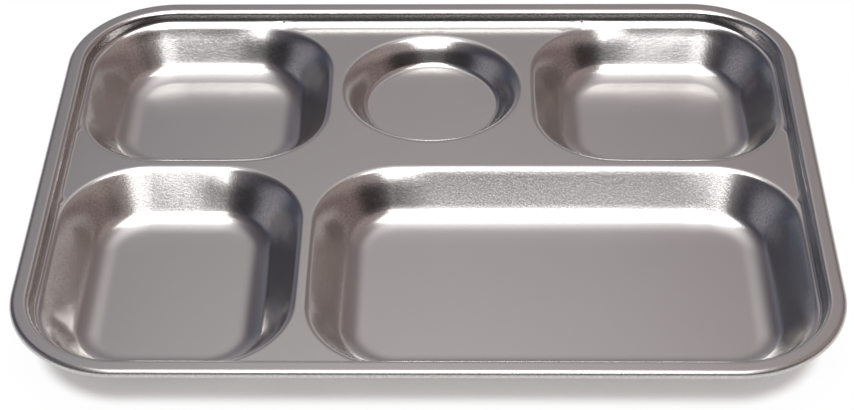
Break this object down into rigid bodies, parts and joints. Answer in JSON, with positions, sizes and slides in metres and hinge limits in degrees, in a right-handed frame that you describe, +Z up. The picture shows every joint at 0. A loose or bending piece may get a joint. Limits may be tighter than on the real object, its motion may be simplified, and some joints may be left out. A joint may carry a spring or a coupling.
{
  "type": "divided compartment plate",
  "caption": "Rectangular stainless steel serving tray with deep rounded rectangular wells, a shallow round well and a raised curled rim.",
  "frame": {"origin": "on the plane that the tray stands on, under the middle of its outside width and depth", "axes": "+X along the long side with the wide front well on its positive half, +Y to the far side where the row with the round well is, +Z up out of the wells"},
  "size_m": [0.285, 0.215, 0.021],
  "materials": {
    "satin_steel": "fine satin stainless steel, pressed, with a faint grain and no coating"
  },
  "bodies": {
    "root": {"tray": "satin_steel"}
  },
  "joints": []
}
